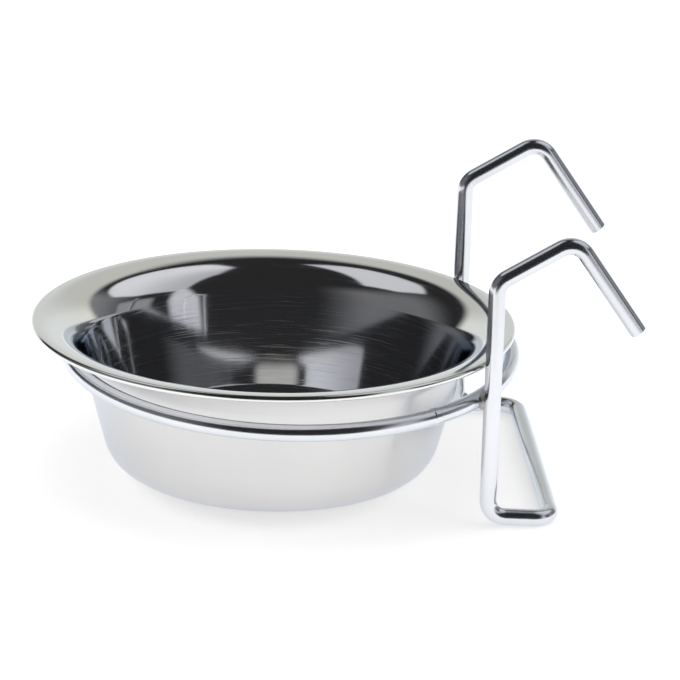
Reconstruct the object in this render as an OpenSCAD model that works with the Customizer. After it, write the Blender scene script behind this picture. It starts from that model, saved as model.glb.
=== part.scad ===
// Steel seed cup that lifts out of a bent wire hanger.
// The hanger has a ring round the cup, two uprights with hooks for a cage
// and a foot that stands on the table or rests against the cage.
// The cup is wedged between the uprights and the far side of the ring and
// leans back, so that only the back edge of its base is on the table.
// Origin: on the table, under the centre of the ring. +X points to the hooks,
// +Y to the back and +Z is up.

/* [Cup] */
// Width across the wall, where its outer slope meets the level of the rim
mouth_d = 108.5; // [100:0.1:114]
// Width of the rim outside the wall
rim_w = 10.75; // [8:0.05:14]
// Width across the wall, where its outer slope meets the level of the base
base_d = 85.9; // [76:0.1:94]
// Height of the rim above the base
cup_h = 41.8; // [36:0.1:48]
// Thickness of the sheet steel
sheet = 0.5; // [0.4:0.05:0.8]
// Outer radius between the wall and the base
corner_r = 11.4; // [7:0.1:18]
// Width of the level edge of the rim, outside the curve that joins it to the wall
edge_w = 1.7; // [1.3:0.05:2.3]
// Height of the folded hem round the rim, whose outside is half round
hem_h = 1.8; // [1.5:0.1:2.4]
// Width of the folded hem
hem_w = 3; // [2.5:0.1:4]
// Rounding of the inner edge of the hem
hem_edge_r = 0.45; // [0.2:0.05:0.6]
// Lean of the cup in the ring, down to the back, in degrees
cup_tilt = 3.5; // [0:0.1:4.5]

/* [Wire] */
// Diameter of the wire
wire_d = 4.5; // [3.6:0.1:5]
// Centre line radius of the bends in the wire
bend_r = 5; // [4:0.1:6]
// How much thinner the wire is drawn where it bends
bend_thin = 0.02; // [0.01:0.01:0.06]
// Rounding of the cut ends of the wire
tip_edge_r = 0.5; // [0.2:0.1:0.8]
// Depth to which the uprights are pressed into the ring as they are welded
weld_sink = 0.3; // [0.1:0.05:0.5]
// Diameter of the weld beads between the ring and the uprights
bead_d = 5.6; // [5.4:0.1:6.4]
// Height of the weld round the ring above the wire
ring_weld_proud = 0.25; // [0.1:0.05:0.5]
// Length of the weld round the ring
ring_weld_l = 1.6; // [1:0.1:3]
// Direction of that weld from the centre of the ring, in degrees from +X
ring_weld_turn = -55; // [-80:1:-50]

/* [Hanger] */
// Distance between the centre lines of the two uprights
upright_gap = 78.4; // [70:0.2:86]
// Length of the legs of the foot, from the uprights to the cross bar
foot_reach = 17.2; // [14:0.1:24]
// Slope of the legs of the foot down to the cross bar, in degrees
foot_dip = 2.7; // [0:0.1:6]
// Height from the ring up to the bend at the top of the uprights
shoulder_rise = 33.3; // [28:0.1:38]
// Reach of the top bend of the hooks beyond the uprights
apex_reach = 20.1; // [17:0.1:26]
// Height of the top bend of the hooks above the ring
apex_rise = 45.2; // [43:0.1:52]
// Reach of the tips of the hooks beyond the uprights
tip_reach = 37.7; // [35:0.1:44]
// Height of the tips of the hooks above the ring
tip_rise = 19.5; // [12:0.1:24]

/* [Clearances] */
// Gap between the rim of the cup and the uprights
upright_clear = 0.3; // [0.2:0.05:1]
// Gap between the curve under the rim and the far side of the ring
curve_clear = 0.5; // [0.45:0.05:1]
// Height between the top of the ring and the lowest point of the rim
ring_clear = 0.2; // [0.1:0.05:1]

/* [Hidden] */
$fn = 96;
// Steps in each round stretch of the outline of the cup
arc_steps = 16;
// Angle by which a bend runs into the straight wire on each side of it
bend_lap = 1;

mouth_r = mouth_d / 2;
flange_r = mouth_r + rim_w;
base_r = base_d / 2;
wire_r = wire_d / 2;
half_gap = upright_gap / 2;

// Slope of the wall: widening for each unit of height, and its angle
wall_slope = (mouth_r - base_r) / cup_h;
wall_angle = atan(wall_slope);

// Centre of the bend between the wall and the base
corner_x = base_r + corner_r * wall_slope - corner_r / cos(wall_angle);

// The wall turns out into the rim in one curve, which ends level at the edge
curve_x = flange_r - edge_w;
curve_r = (curve_x - base_r - (cup_h - sheet) * wall_slope)
    / (1 / cos(wall_angle) - wall_slope);
curve_z = cup_h - sheet - curve_r;

// Inner end and underside of the hem, and the centre of its half round outside
hem_x = flange_r - hem_w;
hem_z = cup_h - hem_h;
hem_r = hem_h / 2;
hem_turn_x = flange_r - hem_r;

// Place of the cup: its lowest point is on the table, and the centre of its rim
// is midway between the uprights
cup_z = corner_x * sin(cup_tilt) + corner_r * (1 - cos(cup_tilt));
cup_y = -cup_h * sin(cup_tilt);
rim_z = cup_z + cup_h * cos(cup_tilt);

// The ring is just under the lowest point of the rim
rim_under = rim_z - hem_turn_x * sin(cup_tilt) - hem_r * cos(cup_tilt) - hem_r;
ring_z = rim_under - ring_clear - wire_r;

// The cross bar of the foot is on the table
foot_fall = foot_reach * sin(foot_dip);
foot_drop = ring_z - wire_r - foot_fall;
foot_out = foot_reach * cos(foot_dip);

// The far side of the ring is inside the curve under the rim
ring_up = (ring_z - cup_z) * cos(cup_tilt) - cup_y * sin(cup_tilt);
ring_in = curve_r - curve_clear - wire_r;
far_side = curve_x - sqrt(pow(ring_in, 2) - pow(ring_up - curve_z, 2));

// The uprights touch the outside of the ring and pass the rim of the cup
weld_pitch = wire_d - weld_sink;
upright_x = sqrt(pow(flange_r + wire_r + upright_clear, 2) - pow(half_gap, 2));
span = upright_x + far_side;
ring_r = (pow(span, 2) - pow(weld_pitch, 2) + pow(half_gap, 2))
    / (2 * (weld_pitch + span));
cup_x = far_side - ring_r;
upright_u = upright_x + cup_x;

// Direction of the uprights from the centre of the ring
weld_turn = asin(half_gap / (ring_r + weld_pitch));

// Corners of the hanger from the back hook to the front one,
// measured from the centre of the ring
hanger_corners = [
    [upright_u + tip_reach, half_gap, tip_rise],
    [upright_u + apex_reach, half_gap, apex_rise],
    [upright_u, half_gap, shoulder_rise],
    [upright_u, half_gap, -foot_drop],
    [upright_u + foot_out, half_gap, -foot_drop - foot_fall],
    [upright_u + foot_out, -half_gap, -foot_drop - foot_fall],
    [upright_u, -half_gap, -foot_drop],
    [upright_u, -half_gap, shoulder_rise],
    [upright_u + apex_reach, -half_gap, apex_rise],
    [upright_u + tip_reach, -half_gap, tip_rise]
];

// Points along an arc round the centre c, from the angle a to the angle b
function arc(c, r, a, b) = [
    for (i = [0:arc_steps])
        let (t = a + (b - a) * i / arc_steps)
        [c[0] + r * cos(t), c[1] + r * sin(t)]
];

function unit(v) = v / norm(v);

// Change of direction of a wire at corner i, in degrees
function turn_at(p, i) = acos(unit(p[i] - p[i - 1]) * unit(p[i + 1] - p[i]));

// Length that the bend at corner i takes from the wire on each side of it
function bend_length(p, i) =
    i == 0 || i == len(p) - 1 ? 0 : bend_r * tan(turn_at(p, i) / 2);

// Half section of the cup: outside from the base up to the hem, then inside
module cup_section() {
    corner = [corner_x, corner_r];
    curve = [curve_x, curve_z];
    wall_turn = 180 - wall_angle;
    hem_turn = 90 + asin((curve_x - hem_x) / curve_r);
    polygon(concat(
        [[0, 0]],
        arc(corner, corner_r, -90, -wall_angle),
        arc(curve, curve_r, wall_turn, hem_turn),
        arc([hem_x + hem_edge_r, hem_z + hem_edge_r], hem_edge_r, 180, 270),
        arc([hem_turn_x, cup_h - hem_r], hem_r, -90, 90),
        arc(curve, curve_r + sheet, 90, wall_turn),
        arc(corner, corner_r - sheet, -wall_angle, -90),
        [[0, sheet]]
    ));
}

// Straight wire that starts at p and runs in the direction d
module straight_wire(p, d, l) {
    translate(p)
        rotate([0, acos(d[2]), atan2(d[1], d[0])])
            cylinder(h = l, d = wire_d);
}

// Bend of a wire round corner i
module wire_bend(p, i) {
    d = unit(p[i] - p[i - 1]);
    axis = unit(cross(d, p[i + 1] - p[i]));
    inward = cross(axis, d);
    c = p[i] - d * bend_length(p, i) + inward * bend_r;
    multmatrix([
        [-inward[0], d[0], axis[0], c[0]],
        [-inward[1], d[1], axis[1], c[1]],
        [-inward[2], d[2], axis[2], c[2]]
    ])
        rotate([0, 0, -bend_lap])
            rotate_extrude(angle = turn_at(p, i) + 2 * bend_lap)
                translate([bend_r, 0])
                    circle(d = wire_d - bend_thin);
}

// Last stretch of the wire, from p on in the direction d, with a rounded edge
module wire_end(p, d, l) {
    translate(p)
        rotate([0, acos(d[2]), atan2(d[1], d[0])])
            rotate_extrude()
                polygon(concat(
                    [[0, 0], [wire_r, 0]],
                    arc([wire_r - tip_edge_r, l - tip_edge_r], tip_edge_r, 0, 90),
                    [[0, l]]
                ));
}

// Wire bent along the corners p
module bent_wire(p) {
    last = len(p) - 1;
    for (i = [1:last - 1])
        wire_bend(p, i);
    for (i = [1:last - 2]) {
        way = p[i + 1] - p[i];
        start = bend_length(p, i);
        end = bend_length(p, i + 1);
        straight_wire(p[i] + unit(way) * start, unit(way), norm(way) - start - end);
    }
    for (ends = [[1, 0], [last - 1, last]]) {
        way = p[ends[1]] - p[ends[0]];
        start = bend_length(p, ends[0]);
        wire_end(p[ends[0]] + unit(way) * start, unit(way), norm(way) - start);
    }
}

// Places what is measured from the centre of the ring
module on_hanger() {
    translate([0, 0, ring_z])
        children();
}

module ring_wire() {
    rotate_extrude()
        translate([ring_r, 0])
            circle(d = wire_d);
}

// Stretch of an upright beside the ring; side is 1 at the back, -1 at the front
module upright_by_ring(side) {
    straight_wire([upright_u, side * half_gap, -wire_d], [0, 0, 1], 2 * wire_d);
}

// Bead in the corner between the ring and one upright
module weld_bead(side) {
    contact_r = ring_r + weld_pitch / 2;
    turn = side * weld_turn;
    $fn = 240;
    difference() {
        translate([contact_r * cos(turn), contact_r * sin(turn), 0])
            sphere(d = bead_d);
        ring_wire();
        upright_by_ring(side);
    }
}

module cup() {
    color("gainsboro")
        translate([cup_x, cup_y, cup_z])
            rotate([-cup_tilt, 0, 0])
                rotate_extrude()
                    cup_section();
}

module support_ring() {
    color("silver")
        on_hanger()
            difference() {
                ring_wire();
                upright_by_ring(1);
                upright_by_ring(-1);
            }
}

module hanger_wire() {
    color("lightsteelblue")
        on_hanger()
            bent_wire(hanger_corners);
}

module front_weld() {
    color("dimgray")
        on_hanger()
            weld_bead(-1);
}

module back_weld() {
    color("dimgray")
        on_hanger()
            weld_bead(1);
}

// Weld that closes the ring, where the two ends of its wire meet
module ring_weld() {
    collar_d = wire_d + 2 * ring_weld_proud;
    color("darkgray")
        on_hanger()
            rotate([0, 0, ring_weld_turn])
                difference() {
                    translate([ring_r, -ring_weld_l / 2, 0])
                        rotate([-90, 0, 0])
                            cylinder(h = ring_weld_l, d = collar_d);
                    ring_wire();
                }
}

cup();
support_ring();
hanger_wire();
front_weld();
back_weld();
ring_weld();
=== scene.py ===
import math
from collections import namedtuple

import bpy
from mathutils import Matrix, Vector, noise


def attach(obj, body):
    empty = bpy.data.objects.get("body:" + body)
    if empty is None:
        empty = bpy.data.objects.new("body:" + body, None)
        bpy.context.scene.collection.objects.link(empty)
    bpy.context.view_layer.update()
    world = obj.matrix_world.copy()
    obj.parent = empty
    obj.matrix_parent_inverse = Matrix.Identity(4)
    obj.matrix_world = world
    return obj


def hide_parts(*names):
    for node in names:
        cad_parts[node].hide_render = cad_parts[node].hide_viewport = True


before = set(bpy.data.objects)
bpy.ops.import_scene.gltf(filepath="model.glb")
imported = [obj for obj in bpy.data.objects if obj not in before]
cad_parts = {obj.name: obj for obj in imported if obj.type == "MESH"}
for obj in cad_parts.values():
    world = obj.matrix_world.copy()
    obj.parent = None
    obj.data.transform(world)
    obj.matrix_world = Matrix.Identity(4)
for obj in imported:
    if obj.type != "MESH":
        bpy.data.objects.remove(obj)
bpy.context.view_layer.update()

MM = 0.001
UP = Vector((0, 0, 1))
QUARTER = math.pi / 2

# The cup, in millimetres
MOUTH_D = 108.5
RIM_W = 10.75
BASE_D = 85.9
CUP_H = 41.8
SHEET = 0.5
CORNER_R = 11.4
EDGE_W = 1.7
HEM_H = 1.8
HEM_W = 3.0
HEM_EDGE_R = 0.45
CUP_TILT = math.radians(3.5)

# The wire, in millimetres
WIRE_R = 2.25
BEND_R = 5.0
TIP_EDGE_R = 0.5
HALF_GAP = 39.2
FOOT_REACH = 17.2
FOOT_DIP = math.radians(2.7)
SHOULDER_RISE = 33.3
APEX = (20.1, 45.2)
TIP = (37.7, 19.5)
UPRIGHT_CLEAR = 0.3
CURVE_CLEAR = 0.5
RING_CLEAR = 0.2

# The welds, in millimetres
WELD_SINK = 0.3
BEAD_HALF = (2.6, 2.6, 2.75)
RING_WELD_TURN = math.radians(-55)
RING_WELD_L = 1.5
RING_WELD_PROUD = 0.18
# How uneven they are, as a share of the size, how far that goes inwards, and the scale
# of the noise
BEAD_UNEVEN = 0.07
BEAD_INWARDS = 0.45
BEAD_NOISE = 2.3
RING_WELD_UNEVEN = 0.02
RING_WELD_NOISE = 900

# Sizes that follow from them
FLANGE_R = MOUTH_D / 2 + RIM_W
BASE_R = BASE_D / 2
SLOPE = (MOUTH_D / 2 - BASE_R) / CUP_H
WALL_ANGLE = math.atan(SLOPE)
CORNER_X = BASE_R + CORNER_R * SLOPE - CORNER_R / math.cos(WALL_ANGLE)
CURVE_X = FLANGE_R - EDGE_W
CURVE_R = (CURVE_X - BASE_R - (CUP_H - SHEET) * SLOPE) / (1 / math.cos(WALL_ANGLE) - SLOPE)
CURVE_Z = CUP_H - SHEET - CURVE_R
HEM_X = FLANGE_R - HEM_W
HEM_Z = CUP_H - HEM_H
HEM_R = HEM_H / 2
HEM_TURN_X = FLANGE_R - HEM_R

CUP_Z = CORNER_X * math.sin(CUP_TILT) + CORNER_R * (1 - math.cos(CUP_TILT))
CUP_Y = -CUP_H * math.sin(CUP_TILT)
RIM_Z = CUP_Z + CUP_H * math.cos(CUP_TILT)
RIM_UNDER = RIM_Z - HEM_TURN_X * math.sin(CUP_TILT) - HEM_R * math.cos(CUP_TILT) - HEM_R
RING_Z = RIM_UNDER - RING_CLEAR - WIRE_R
RING_UP = (RING_Z - CUP_Z) * math.cos(CUP_TILT) - CUP_Y * math.sin(CUP_TILT)
WELD_PITCH = 2 * WIRE_R - WELD_SINK
UPRIGHT_X = math.sqrt((FLANGE_R + WIRE_R + UPRIGHT_CLEAR) ** 2 - HALF_GAP ** 2)
FAR_SIDE = CURVE_X - math.sqrt((CURVE_R - CURVE_CLEAR - WIRE_R) ** 2 - (RING_UP - CURVE_Z) ** 2)
SPAN = UPRIGHT_X + FAR_SIDE
RING_R = (SPAN ** 2 - WELD_PITCH ** 2 + HALF_GAP ** 2) / (2 * (WELD_PITCH + SPAN))
CUP_X = FAR_SIDE - RING_R
UPRIGHT_U = UPRIGHT_X + CUP_X
WELD_TURN = math.asin(HALF_GAP / (RING_R + WELD_PITCH))
FOOT_FALL = FOOT_REACH * math.sin(FOOT_DIP)
FOOT_OUT = FOOT_REACH * math.cos(FOOT_DIP)
FOOT_DROP = RING_Z - WIRE_R - FOOT_FALL

# Steps of the meshes
CUP_TURNS = 320
CORNER_STEPS = 28
UNDER_STEPS = 32
OVER_STEPS = 48
HEM_STEPS = 24
HEM_EDGE_STEPS = 8
ROD_SIDES = 48
RING_STEPS = 256
BEND_STEPS = 16
TIP_STEPS = 6
RING_WELD_SIDES = 40
RING_WELD_STEPS = 8
BEAD_RINGS = 24
BEAD_TURNS = 32
SAME_SPOT = 1e-9

# The tint of all metals at low angles
EDGE_TINT = (0.88, 0.93, 1, 1)
# Their wear: the scale, detail and roughness of the smears, the part of them that
# changes the tone, and how far smears and speckle roughen the metal
SMEARS = (28.0, 4.0, 0.6)
SMEAR_TONES = (0.35, 0.68)
SMEAR_ROUGHENS = 0.25
SPECKLE_ROUGHENS = 0.2
# Spun metals: the detail and roughness of fine rings and hair lines, the scales of broad
# rings and hair lines against the fine rings, and the stretch that draws them out along
# the turn, in metres for each radian
FINE_RINGS = (3.0, 0.7)
BROAD_SCALE = 0.12
RING_STRETCH = 0.0006
HAIR_LINES = (3.0, 0.6)
HAIR_SCALE = 3.0
HAIR_STRETCH = 0.0007
HAIR_FADE = (0.42, 0.8)

# The camera at the photo's angle, in degrees: its turn from the -Y axis, its height
# above the table and its roll
CAMERA_TURN = 5.302
CAMERA_RISE = 21.607
CAMERA_ROLL = 1.854
# Where it sees the frame's origin, in pixels right of and above the middle of the
# photo, the scale there, and its focal length in pixels
ORIGIN_RIGHT = -49.3
ORIGIN_ABOVE = -130.262
PIXELS_PER_MM = 3.672
FOCAL_PIXELS = 4400.0
PHOTO_PIXELS = 680
SENSOR_MM = 36

# The floor, in metres, its tone, what it adds where it is seen, and the world's light
FLOOR_HALF = 7.0
FLOOR_Z = -0.00005
FLOOR_TONE = 0.8
FLOOR_GLOW = 0.42
WORLD_LIGHT = 0.72
# The dark room that the metal shows where the table ends in front, in metres
GAP_NEAR = -0.27
GAP_FAR = -3.9
GAP_HALF = 0.1
GAP_Z = 0.0004
GAP_COLOUR = (0.045, 0.05, 0.065, 1)

# The studio that only the metal shows. A bearing is (turn, rise) in degrees, seen from
# the cup: turn 0 is towards the camera, 90 to its right and 180 to the backdrop.
LAMP_LEFT = [(-155, 76), (-96, 70), (-68, 50), (-95, 42), (-122, 40), (-138, 46), (-150, 62)]
LAMP_RIGHT = [(61, 68), (61, 31), (100, 28), (122, 29), (134, 35), (141, 43), (147, 68), (100, 79)]
LIGHT_STRIP = [(61, 36), (69, 36), (69, -4), (47, -4), (47, 12)]
LOW_SCREEN = [(82, 22), (112, 20), (112, -4), (82, -4)]
# Half the width of their soft edges, in radians, their strengths and the dark room's
LAMP_SOFT = 0.03
STRIP_SOFT = 0.05
SCREEN_SOFT = 0.06
LEFT_GLOW = 0.68
STRIP_GLOW = 0.62
SCREEN_GLOW = 0.3
DARK_GLOW = 0.024
# Its colours, and the strengths of the backdrop over which cool turns to warm
COOL = (0.96, 0.975, 1.04, 1)
WARM = (1.0, 1.0, 0.94, 1)
WARM_RANGE = (0.1, 0.5)
# Middles of the backdrop and of the wall, in degrees right of straight ahead, the way
# from the camera to the cup
BACKDROP_MIDDLE = 4
WALL_MIDDLE = -100
# Fades over degrees: start, end, value at the start, value at the end. The first gives
# half the width of the backdrop, in degrees, and the others give strengths.
BACKDROP_HALF = (0, 60, 48, 16)
BACKDROP_EDGE = (-6, 6, 1, 0)
BACKDROP_TOP = (42, 62, 1, 0)
BACKDROP_GLOW = (8, 26, 0.86, 0.6)
CORNER_RIGHT = (38, 100, 1, 0)
CORNER_LEFT = (0, 20, 0, 1)
CORNER_GLOW = (26, 40, 0.24, 0)
WALL_EDGE = (16, 56, 1, 0)
WALL_GLOW = (30, 48, 0.15, 0)
RIGHT_GLOW = (55, 118, 0.8, 0.5)
# The dome that carries it, its radius in metres
ROOM_R = 4.0
ROOM_TURNS = 96
ROOM_RISES = 32
# The point that the lamps face, in metres
LAMP_AIM = Vector((0, 0, 0.03))


# Shader nodes
class Tree:
    """Short ways to add and join shader nodes."""

    def __init__(self, tree):
        self.tree = tree

    def add(self, kind, **values):
        node = self.tree.nodes.new(kind)
        for key, value in values.items():
            setattr(node, key, value)
        return node

    def join(self, out, into):
        self.tree.links.new(out, into)

    def feed(self, value, into):
        """Joins value to the socket if it is one itself, and else sets it there."""
        if isinstance(value, bpy.types.NodeSocket):
            self.join(value, into)
        else:
            into.default_value = value

    def math(self, operation, *values):
        node = self.add("ShaderNodeMath", operation=operation)
        for index, value in enumerate(values):
            self.feed(value, node.inputs[index])
        return node.outputs[0]

    def chain(self, operation, first, *others):
        for other in others:
            first = self.math(operation, first, other)
        return first

    def times(self, *values):
        return self.chain("MULTIPLY", *values)

    def largest(self, *values):
        return self.chain("MAXIMUM", *values)

    def degrees(self, radians):
        return self.times(radians, 180 / math.pi)

    def weigh(self, a, a_share, b, b_share):
        """The sum of two values, each times its share."""
        return self.math("ADD", self.times(a, a_share), self.times(b, b_share))

    def span(self, value, low, high, to_low=0.0, to_high=1.0, smooth=True):
        """Carries value from between low and high to between to_low and to_high."""
        node = self.add("ShaderNodeMapRange", interpolation_type="SMOOTHSTEP" if smooth else "LINEAR")
        for index, item in enumerate((value, low, high, to_low, to_high)):
            self.feed(item, node.inputs[index])
        return node.outputs[0]

    def mix(self, factor, a, b):
        """Mixes two colours, which a Mix node takes at 6 and 7 and gives at 2."""
        node = self.add("ShaderNodeMix", data_type="RGBA")
        for index, value in ((0, factor), (6, a), (7, b)):
            self.feed(value, node.inputs[index])
        return node.outputs[2]

    def noise(self, vector, scale, detail=2.0, rough=0.5):
        node = self.add("ShaderNodeTexNoise")
        self.join(vector, node.inputs["Vector"])
        node.inputs["Scale"].default_value = scale
        node.inputs["Detail"].default_value = detail
        node.inputs["Roughness"].default_value = rough
        return node.outputs["Fac"]

    def combine(self, x, y, z):
        node = self.add("ShaderNodeCombineXYZ")
        for index, value in enumerate((x, y, z)):
            self.feed(value, node.inputs[index])
        return node.outputs[0]

    def dot(self, vector, way):
        node = self.add("ShaderNodeVectorMath", operation="DOT_PRODUCT")
        self.join(vector, node.inputs[0])
        node.inputs[1].default_value = way
        return node.outputs["Value"]

    def bump(self, height, distance):
        node = self.add("ShaderNodeBump")
        node.inputs["Distance"].default_value = distance
        self.join(height, node.inputs["Height"])
        return node.outputs[0]

    def upright(self, place):
        """The place as if the cup did not lean."""
        node = self.add("ShaderNodeVectorRotate", rotation_type="X_AXIS")
        self.join(place, node.inputs["Vector"])
        node.inputs["Angle"].default_value = CUP_TILT
        return node.outputs[0]

    def round_axis(self, place):
        """The radius, turn and height of a place round the Z axis."""
        node = self.add("ShaderNodeSeparateXYZ")
        self.join(place, node.inputs[0])
        x, y, z = node.outputs
        radius = self.math("SQRT", self.math("ADD", self.times(x, x), self.times(y, y)))
        return radius, self.math("ARCTAN2", y, x), z

    def seen(self):
        """1 for what the camera sees, also in metal and glass, and 0 for other light."""
        path = self.add("ShaderNodeLightPath").outputs
        return self.largest(path["Is Camera Ray"], path["Is Glossy Ray"], path["Is Transmission Ray"])


def new_material(name):
    """A material, the tree of its nodes and the socket that takes its surface."""
    mat = bpy.data.materials.new(name)
    mat.use_nodes = True
    mat.node_tree.nodes.clear()
    t = Tree(mat.node_tree)
    return mat, t, t.add("ShaderNodeOutputMaterial").inputs["Surface"]


def metal(name, light, dark, rough, relief, grain=900.0, spin=None, aniso=0.0, scratch=0.0):
    """A metal whose colour and roughness vary with smears and a fine speckle.

    light and dark are its two colours, rough its least and greatest roughness, relief
    the height of its unevenness in metres and grain the scale of the speckle. A spun
    metal has rings round the cup's axis: spin is their scale, aniso how far they draw
    out the gloss and scratch the roughness of the short hair lines along them.
    """
    mat, t, surface = new_material(name)
    shader = t.add("ShaderNodeBsdfPrincipled")
    shader.inputs["Metallic"].default_value = 1.0
    shader.inputs["Specular Tint"].default_value = EDGE_TINT
    place = t.add("ShaderNodeTexCoord").outputs["Object"]
    if spin:
        place = t.upright(place)
    smears = t.noise(place, *SMEARS)
    speckle = t.noise(place, grain)
    tone = t.span(smears, *SMEAR_TONES)
    wear = t.weigh(smears, SMEAR_ROUGHENS, speckle, SPECKLE_ROUGHENS)
    matt = t.span(wear, 0.0, SMEAR_ROUGHENS + SPECKLE_ROUGHENS, *rough, smooth=False)
    if spin:
        radius, turn, z = t.round_axis(place)
        along = t.combine(radius, t.times(turn, RING_STRETCH), z)
        fine = t.noise(along, spin, *FINE_RINGS)
        rings = t.weigh(fine, 0.6, t.noise(along, spin * BROAD_SCALE), 0.4)
        tone = t.weigh(tone, 0.45, rings, 0.55)
        height = t.weigh(rings, 1.0, speckle, 0.15)
        tangent = t.add("ShaderNodeTangent", direction_type="RADIAL", axis="Z")
        t.join(tangent.outputs[0], shader.inputs["Tangent"])
        shader.inputs["Anisotropic"].default_value = aniso
        shader.inputs["Anisotropic Rotation"].default_value = 0.25
    else:
        height = t.weigh(smears, 0.3, speckle, 1.0)
    if scratch:
        along = t.combine(radius, t.times(turn, HAIR_STRETCH), z)
        hair = t.noise(along, spin * HAIR_SCALE, *HAIR_LINES)
        matt = t.largest(matt, t.span(hair, *HAIR_FADE, 0.0, scratch))
    t.join(t.mix(tone, (*dark, 1), (*light, 1)), shader.inputs["Base Color"])
    t.join(matt, shader.inputs["Roughness"])
    t.join(t.bump(height, relief), shader.inputs["Normal"])
    t.join(shader.outputs[0], surface)
    return mat


satin = metal(
    "cup_satin", light=(0.745, 0.735, 0.73), dark=(0.665, 0.66, 0.66),
    rough=(0.2, 0.3), relief=0.000004, spin=2600.0, aniso=0.55,
)
rim_steel = metal(
    "cup_rim", light=(0.84, 0.835, 0.81), dark=(0.76, 0.755, 0.735),
    rough=(0.09, 0.17), relief=0.000002, spin=1500.0, aniso=0.3,
)
curve_steel = metal(
    "cup_curve", light=(0.84, 0.835, 0.82), dark=(0.77, 0.765, 0.75),
    rough=(0.06, 0.09), relief=0.0000006, spin=1500.0, aniso=0.3, scratch=0.24,
)
bright = metal(
    "cup_polished", light=(0.82, 0.82, 0.83), dark=(0.75, 0.755, 0.765),
    rough=(0.05, 0.09), relief=0.000001, spin=1500.0, aniso=0.3, scratch=0.28,
)
chrome = metal(
    "wire_bright", light=(0.79, 0.805, 0.84), dark=(0.72, 0.735, 0.77),
    rough=(0.16, 0.25), relief=0.000001, grain=700.0,
)
cut_steel = metal(
    "wire_cut", light=(0.62, 0.61, 0.6), dark=(0.42, 0.41, 0.4),
    rough=(0.3, 0.5), relief=0.00003, grain=1500.0,
)
weld_steel = metal(
    "weld_dull", light=(0.55, 0.53, 0.51), dark=(0.28, 0.25, 0.23),
    rough=(0.32, 0.55), relief=0.00008, grain=1300.0,
)


# Meshes
def new_object(name, data):
    obj = bpy.data.objects.new(name, data)
    bpy.context.scene.collection.objects.link(obj)
    return obj


def mesh_object(name, points, faces, mats):
    mesh = bpy.data.meshes.new(name)
    mesh.from_pydata(points, [], faces)
    for mat in mats:
        mesh.materials.append(mat)
    return new_object(name, mesh)


def smooth_object(name, points, faces, normals, slots, mats):
    """normals holds one vector for each corner of each face."""
    obj = mesh_object(name, points, faces, mats)
    obj.data.polygons.foreach_set("material_index", slots)
    obj.data.polygons.foreach_set("use_smooth", [True] * len(faces))
    obj.data.normals_split_custom_set(normals)
    obj.data.update()
    return obj


def closed_rows(rows, turns):
    """Faces between rows of points that each go once round."""
    faces = []
    for i in range(rows):
        for j in range(turns):
            k = (j + 1) % turns
            faces.append((i * turns + j, (i + 1) * turns + j, (i + 1) * turns + k, i * turns + k))
    return faces


def arc(centre, r, start, end, steps, side=1):
    """Points on an arc with the outward normal at each; side -1 turns the normals inwards."""
    row = []
    for i in range(steps + 1):
        a = start + (end - start) * i / steps
        point = (centre[0] + r * math.cos(a), centre[1] + r * math.sin(a))
        row.append((point, (side * math.cos(a), side * math.sin(a))))
    return row


def line(start, end):
    """The two ends of a straight run with their normal, which points to its right."""
    x, z = end[0] - start[0], end[1] - start[1]
    size = math.hypot(x, z)
    normal = (z / size, -x / size)
    return [(start, normal), (end, normal)]


def spoke(x, z, a):
    """The point or normal (x, z) of an outline, turned by a round the Z axis."""
    return Vector((x * math.cos(a), x * math.sin(a), z))


def lathe(name, runs, turns, lean, mats):
    """Turns an outline round the Z axis and leans the result.

    runs is a list of (points with normals, material index); they join end to end.
    """
    outline, segments = [], []
    for run, slot in runs:
        for (start, start_way), (end, end_way) in zip(run, run[1:]):
            if not outline or math.dist(start, outline[-1]) > SAME_SPOT:
                outline.append(start)
            segments.append((len(outline) - 1, start_way, end_way, slot))
            outline.append(end)
    angles = [2 * math.pi * j / turns for j in range(turns)]
    points, index = [], []
    for r, z in outline:
        around = angles if r > SAME_SPOT else angles[:1]
        index.append([len(points) + j % len(around) for j in range(turns)])
        points += [lean @ spoke(r * MM, z * MM, a) for a in around]
    faces, normals, slots = [], [], []
    for i, start_way, end_way, slot in segments:
        for j in range(turns):
            k = (j + 1) % turns
            corners = {}
            for row, step, way in (
                (i, j, start_way), (i, k, start_way), (i + 1, k, end_way), (i + 1, j, end_way),
            ):
                corners.setdefault(index[row][step], spoke(*way, angles[step]))
            faces.append(list(corners))
            normals += [lean @ way for way in corners.values()]
            slots.append(slot)
    return smooth_object(name, points, faces, normals, slots, mats)


# One round section of a rod: its centre, the way the rod runs, the way to its first
# point, its radius, and how far its normals tilt along the rod
Section = namedtuple("Section", "spot along side radius tilt")


def rod_sections(path, r, closed):
    """Sections whose sides don't twist along the path; round a flat ring they point up."""
    if closed:
        return [Section(spot, along, UP, r, 0.0) for spot, along in path]
    sections = []
    before = path[0][1]
    side = before.orthogonal().normalized()
    for spot, along in path:
        side = before.rotation_difference(along) @ side
        side = (side - along * side.dot(along)).normalized()
        before = along
        sections.append(Section(spot, along, side, r, 0.0))
    return sections


def rounded_edge(last, sign):
    """Sections that narrow beyond the last one; sign is -1 at the start of the rod."""
    sections = []
    for i in range(1, TIP_STEPS + 1):
        a = QUARTER * i / TIP_STEPS
        spot = last.spot + sign * last.along * TIP_EDGE_R * math.sin(a)
        radius = last.radius - TIP_EDGE_R * (1 - math.cos(a))
        sections.append(Section(spot, last.along, last.side, radius, sign * a))
    return sections


def section_skin(section, sides):
    """The points once round a section, with their normals."""
    spot, along, side, radius, tilt = section
    across = along.cross(side)
    skin = []
    for j in range(sides):
        a = 2 * math.pi * j / sides
        way = side * math.cos(a) + across * math.sin(a)
        normal = way * math.cos(tilt) + along * math.sin(tilt)
        skin.append(((spot + way * radius) * MM, normal))
    return skin


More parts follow.
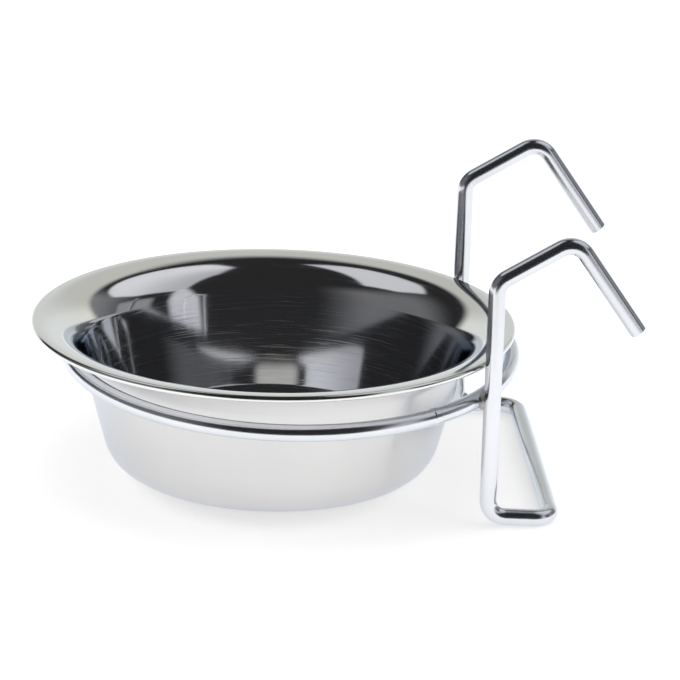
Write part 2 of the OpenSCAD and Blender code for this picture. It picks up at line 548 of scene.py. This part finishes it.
def sweep(name, path, r, sides, mats, closed=False):
    """A rod along (point, direction) pairs in millimetres; open ends get a rounded edge."""
    sections = rod_sections(path, r, closed)
    if not closed:
        sections = rounded_edge(sections[0], -1)[::-1] + sections + rounded_edge(sections[-1], 1)
    skins = [section_skin(section, sides) for section in sections]
    points = [point for skin in skins for point, _ in skin]
    count = len(sections)
    faces, normals = [], []
    for i in range(count if closed else count - 1):
        after = (i + 1) % count
        for j in range(sides):
            k = (j + 1) % sides
            corners = ((i, j), (i, k), (after, k), (after, j))
            faces.append([row * sides + step for row, step in corners])
            normals += [skins[row][step][1] for row, step in corners]
    slots = [0] * len(faces)
    if not closed:
        for i, sign in ((0, -1), (count - 1, 1)):
            centre = len(points)
            points.append(sections[i].spot * MM)
            for j in range(sides):
                edge = (j, (j + 1) % sides)[::sign]
                faces.append([i * sides + step for step in edge] + [centre])
                normals += [sections[i].along * sign] * 3
                slots.append(1)
    return smooth_object(name, points, faces, normals, slots, mats)


def bent_path(corners, bend_r, steps):
    """Centre line through the corners with round bends, as (point, direction) pairs."""
    first = (corners[1] - corners[0]).normalized()
    last = (corners[-1] - corners[-2]).normalized()
    path = [(corners[0] + first * TIP_EDGE_R, first)]
    for before, corner, after in zip(corners, corners[1:], corners[2:]):
        into = (corner - before).normalized()
        out = (after - corner).normalized()
        turn = into.angle(out)
        axis = into.cross(out).normalized()
        cut = bend_r * math.tan(turn / 2)
        start = corner - into * cut
        centre = start + axis.cross(into) * bend_r
        for i in range(steps + 1):
            swing = Matrix.Rotation(turn * i / steps, 3, axis)
            path.append((centre + swing @ (start - centre), swing @ into))
    path.append((corners[-1] - last * TIP_EDGE_R, last))
    return path


# The pieces
def build_cup():
    wall_turn = math.pi - WALL_ANGLE
    hem_turn = QUARTER + math.asin((CURVE_X - HEM_X) / CURVE_R)
    corner, curve = (CORNER_X, CORNER_R), (CURVE_X, CURVE_Z)
    hem_edge = (HEM_X + HEM_EDGE_R, HEM_Z + HEM_EDGE_R)
    hem_turned = (HEM_TURN_X, CUP_H - HEM_R)
    low_corner = arc(corner, CORNER_R, -QUARTER, -WALL_ANGLE, CORNER_STEPS)
    low_curve = arc(curve, CURVE_R, wall_turn, hem_turn, UNDER_STEPS, -1)
    hem_in = arc(hem_edge, HEM_EDGE_R, 2 * QUARTER, 3 * QUARTER, HEM_EDGE_STEPS)
    hem_out = arc(hem_turned, HEM_R, -QUARTER, QUARTER, HEM_STEPS)
    top_curve = arc(curve, CURVE_R + SHEET, QUARTER, wall_turn, OVER_STEPS)
    in_corner = arc(corner, CORNER_R - SHEET, -WALL_ANGLE, -QUARTER, CORNER_STEPS, -1)
    outside, rim, bend, inside = 0, 1, 2, 3
    runs = [
        (line((0, 0), low_corner[0][0]), outside),
        (low_corner, outside),
        (line(low_corner[-1][0], low_curve[0][0]), outside),
        (low_curve, outside),
        (line(low_curve[-1][0], hem_in[0][0]), rim),
        (hem_in, rim),
        (line(hem_in[-1][0], hem_out[0][0]), rim),
        (hem_out, rim),
        (line(hem_out[-1][0], top_curve[0][0]), rim),
        (top_curve, bend),
        (line(top_curve[-1][0], in_corner[0][0]), inside),
        (in_corner, inside),
        (line(in_corner[-1][0], (0, SHEET)), inside),
    ]
    lean = Matrix.Rotation(-CUP_TILT, 3, "X")
    obj = lathe("cup_shell", runs, CUP_TURNS, lean, [satin, rim_steel, curve_steel, bright])
    obj.location = (CUP_X * MM, CUP_Y * MM, CUP_Z * MM)
    return obj


def build_hanger():
    u, h = UPRIGHT_U, HALF_GAP
    side = [
        (u + TIP[0], TIP[1]), (u + APEX[0], APEX[1]), (u, SHOULDER_RISE),
        (u, -FOOT_DROP), (u + FOOT_OUT, -FOOT_DROP - FOOT_FALL),
    ]
    corners = [Vector((x, h, RING_Z + z)) for x, z in side]
    corners += [Vector((x, -h, RING_Z + z)) for x, z in side[::-1]]
    path = bent_path(corners, BEND_R, BEND_STEPS)
    return sweep("hanger_rod", path, WIRE_R, ROD_SIDES, [chrome, cut_steel])


def ring_place(a):
    """Point and direction on the centre line of the ring."""
    return spoke(RING_R, RING_Z, a), Vector((-math.sin(a), math.cos(a), 0))


def build_ring():
    path = [ring_place(2 * math.pi * i / RING_STEPS) for i in range(RING_STEPS)]
    return sweep("ring_rod", path, WIRE_R, ROD_SIDES, [chrome, cut_steel], closed=True)


def build_weld(name, side, seed):
    """An uneven bead where the upright on that side touches the ring."""
    centre = spoke(RING_R + WELD_PITCH / 2, RING_Z, side * WELD_TURN)
    points = []
    for i in range(BEAD_RINGS + 1):
        for j in range(BEAD_TURNS):
            down, turn = math.pi * i / BEAD_RINGS, 2 * math.pi * j / BEAD_TURNS
            way = spoke(math.sin(down), math.cos(down), turn)
            lump = noise.noise(way * BEAD_NOISE + Vector((seed, 0, 0)))
            swell = 1 + BEAD_UNEVEN * (lump - BEAD_INWARDS)
            reach = Vector([part * half * swell for part, half in zip(way, BEAD_HALF)])
            points.append((centre + reach) * MM)
    obj = mesh_object(name, points, closed_rows(BEAD_RINGS, BEAD_TURNS), [weld_steel])
    obj.data.polygons.foreach_set("use_smooth", [True] * len(obj.data.polygons))
    return obj


def build_ring_weld():
    """The slightly thicker and uneven place where the ends of the ring meet."""
    path = []
    for i in range(RING_WELD_STEPS + 1):
        along = (i / RING_WELD_STEPS - 0.5) * RING_WELD_L
        path.append(ring_place(RING_WELD_TURN + along / RING_R))
    obj = sweep("ring_joint", path, WIRE_R + RING_WELD_PROUD, RING_WELD_SIDES, [chrome, chrome])
    centre = ring_place(RING_WELD_TURN)[0] * MM
    for vertex in obj.data.vertices:
        swell = 1 + RING_WELD_UNEVEN * noise.noise(vertex.co * RING_WELD_NOISE)
        vertex.co = centre + (vertex.co - centre) * swell
    return obj


# The floor, the studio and the camera
def bearing(turn, rise):
    """The direction from the cup at that bearing."""
    a, e = math.radians(turn - CAMERA_TURN), math.radians(rise)
    return Vector((math.sin(a) * math.cos(e), -math.cos(a) * math.cos(e), math.sin(e)))


def only_in_metal(obj):
    obj.visible_camera = False
    obj.visible_diffuse = False
    obj.visible_shadow = False


def build_floor():
    """The pale floor keeps the shadow and shows white to the camera and in the metal."""
    mat, t, surface = new_material("floor_white")
    diffuse = t.add("ShaderNodeBsdfDiffuse")
    diffuse.inputs["Color"].default_value = (FLOOR_TONE, FLOOR_TONE, FLOOR_TONE, 1)
    glow = t.add("ShaderNodeEmission")
    t.join(t.times(t.seen(), FLOOR_GLOW), glow.inputs["Strength"])
    both = t.add("ShaderNodeAddShader")
    t.join(diffuse.outputs[0], both.inputs[0])
    t.join(glow.outputs[0], both.inputs[1])
    t.join(both.outputs[0], surface)
    s = FLOOR_HALF
    obj = mesh_object("floor", [(-s, -s, 0), (s, -s, 0), (s, s, 0), (-s, s, 0)], [(0, 1, 2, 3)], [mat])
    obj.location.z = FLOOR_Z


def build_front_gap():
    """Where the table ends in front of the object, the metal shows the dark room."""
    mat, t, surface = new_material("dark_gap")
    glow = t.add("ShaderNodeEmission")
    glow.inputs["Color"].default_value = GAP_COLOUR
    t.join(glow.outputs[0], surface)
    half, wide = GAP_HALF, GAP_HALF + GAP_NEAR - GAP_FAR
    near = [(-half, GAP_NEAR, GAP_Z), (half, GAP_NEAR, GAP_Z)]
    far = [(wide, GAP_FAR, GAP_Z), (-wide, GAP_FAR, GAP_Z)]
    obj = mesh_object("front_gap", near + far, [(0, 1, 2, 3)], [mat])
    only_in_metal(obj)


def panel(t, way, corners, soft):
    """1 inside the corners and 0 outside them, with soft edges."""
    ways = [bearing(*corner) for corner in corners]
    middle = sum(ways, Vector())
    steps = []
    for a, b in zip(ways, ways[1:] + ways[:1]):
        edge = a.cross(b).normalized()
        edge *= 1 if edge.dot(middle) > 0 else -1
        steps.append(t.span(t.dot(way, edge), -soft, soft))
    return t.times(*steps)


def backdrop_light(t, rise, off_ahead):
    """The backdrop, wider towards the table and brighter there."""
    side = t.math("ABSOLUTE", t.math("SUBTRACT", off_ahead, BACKDROP_MIDDLE))
    beyond = t.math("SUBTRACT", side, t.span(rise, *BACKDROP_HALF, smooth=False))
    inside = t.times(t.span(beyond, *BACKDROP_EDGE), t.span(rise, *BACKDROP_TOP))
    return t.times(inside, t.span(rise, *BACKDROP_GLOW))


def corner_light(t, rise, off_ahead):
    """The grey corner between the backdrop and the lamp on the right."""
    inside = t.times(t.span(off_ahead, *CORNER_RIGHT), t.span(off_ahead, *CORNER_LEFT))
    return t.times(inside, t.span(rise, *CORNER_GLOW))


def wall_light(t, rise, off_ahead):
    """The grey wall on the left, on top of the little light that the whole room has."""
    side = t.math("ABSOLUTE", t.math("SUBTRACT", off_ahead, WALL_MIDDLE))
    wall = t.times(t.span(side, *WALL_EDGE), t.span(rise, *WALL_GLOW))
    return t.math("ADD", wall, DARK_GLOW)


def build_room():
    mat, t, surface = new_material("room_cloth")
    unit = t.add("ShaderNodeVectorMath", operation="NORMALIZE")
    t.join(t.add("ShaderNodeTexCoord").outputs["Object"], unit.inputs[0])
    way = unit.outputs[0]
    rise = t.degrees(t.math("ARCSINE", t.dot(way, UP)))
    right, ahead = t.dot(way, bearing(90, 0)), t.dot(way, bearing(180, 0))
    off_ahead = t.degrees(t.math("ARCTAN2", right, ahead))
    backdrop = backdrop_light(t, rise, off_ahead)
    glow = t.add("ShaderNodeEmission")
    light = t.largest(
        wall_light(t, rise, off_ahead),
        corner_light(t, rise, off_ahead),
        backdrop,
        t.times(panel(t, way, LAMP_LEFT, LAMP_SOFT), LEFT_GLOW),
        t.times(panel(t, way, LAMP_RIGHT, LAMP_SOFT), t.span(off_ahead, *RIGHT_GLOW)),
        t.times(panel(t, way, LIGHT_STRIP, STRIP_SOFT), STRIP_GLOW),
        t.times(panel(t, way, LOW_SCREEN, SCREEN_SOFT), SCREEN_GLOW),
    )
    t.join(light, glow.inputs["Strength"])
    t.join(t.mix(t.span(backdrop, *WARM_RANGE), COOL, WARM), glow.inputs["Color"])
    t.join(glow.outputs[0], surface)
    points = []
    for i in range(ROOM_RISES + 1):
        for j in range(ROOM_TURNS):
            e, a = QUARTER * i / ROOM_RISES, 2 * math.pi * j / ROOM_TURNS
            points.append(spoke(ROOM_R * math.cos(e), ROOM_R * math.sin(e), a))
    obj = mesh_object("room", points, closed_rows(ROOM_RISES, ROOM_TURNS), [mat])
    only_in_metal(obj)


def build_world():
    world = bpy.data.worlds.new("studio")
    bpy.context.scene.world = world
    world.use_nodes = True
    world.node_tree.nodes.clear()
    t = Tree(world.node_tree)
    out = t.add("ShaderNodeOutputWorld")
    ground = t.add("ShaderNodeBackground")
    ground.inputs["Color"].default_value = (1, 1, 1, 1)
    t.join(t.span(t.seen(), 0, 1, WORLD_LIGHT, 1.0, smooth=False), ground.inputs["Strength"])
    t.join(ground.outputs[0], out.inputs["Surface"])


def softbox(name, turn, rise, away, wide, high, glow):
    """A lamp at that bearing, aimed at the cup and not seen by the camera or in the metal."""
    lamp = bpy.data.lights.new(name, "AREA")
    lamp.shape = "RECTANGLE"
    lamp.size, lamp.size_y = wide, high
    lamp.energy = glow * math.pi * wide * high
    obj = new_object(name, lamp)
    way = bearing(turn, rise)
    obj.location = way * away + LAMP_AIM
    obj.rotation_euler = way.to_track_quat("Z", "Y").to_euler()
    obj.visible_camera = False
    obj.visible_glossy = False


def build_camera():
    az, e, roll = (math.radians(v) for v in (CAMERA_TURN, CAMERA_RISE, CAMERA_ROLL))
    right = Vector((math.cos(az), -math.sin(az), 0))
    up = Vector((math.sin(az) * math.sin(e), math.cos(az) * math.sin(e), math.cos(e)))
    ahead = Vector((math.sin(az) * math.cos(e), math.cos(az) * math.cos(e), -math.sin(e)))
    spot = (right * -ORIGIN_RIGHT + up * -ORIGIN_ABOVE - ahead * FOCAL_PIXELS) / PIXELS_PER_MM * MM
    rolled_right = right * math.cos(roll) + up * math.sin(roll)
    rolled_up = up * math.cos(roll) - right * math.sin(roll)
    data = bpy.data.cameras.new("camera")
    data.sensor_fit = "HORIZONTAL"
    data.sensor_width = SENSOR_MM
    data.lens = FOCAL_PIXELS * SENSOR_MM / PHOTO_PIXELS
    data.clip_start = 0.01
    data.clip_end = 50
    obj = new_object("camera", data)
    axes = Matrix((rolled_right, rolled_up, -ahead)).transposed().to_4x4()
    obj.matrix_world = Matrix.Translation(spot) @ axes
    bpy.context.scene.camera = obj


cup = build_cup()
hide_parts("cup")
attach(cup, "cup")

for piece, nodes, slot in (
    (build_ring(), ("support_ring",), "wire_steel"),
    (build_hanger(), ("hanger_wire",), "wire_steel"),
    (build_weld("front_bead", side=-1, seed=1.7), ("front_weld",), "weld_steel"),
    (build_weld("back_bead", side=1, seed=5.2), ("back_weld",), "weld_steel"),
    (build_ring_weld(), ("ring_weld",), "weld_steel"),
):
    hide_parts(*nodes)
    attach(piece, "hanger")

build_floor()
build_room()
build_front_gap()
build_world()
softbox("lamp_left", turn=-76.7, rise=32, away=1.5, wide=1.6, high=1.2, glow=1.1)
softbox("lamp_right", turn=83.3, rise=32, away=1.5, wide=1.4, high=1.2, glow=1.1)
softbox("lamp_top", turn=5.3, rise=85, away=1.6, wide=0.7, high=0.5, glow=1.0)
build_camera()
bpy.context.scene.view_settings.view_transform = "Standard"
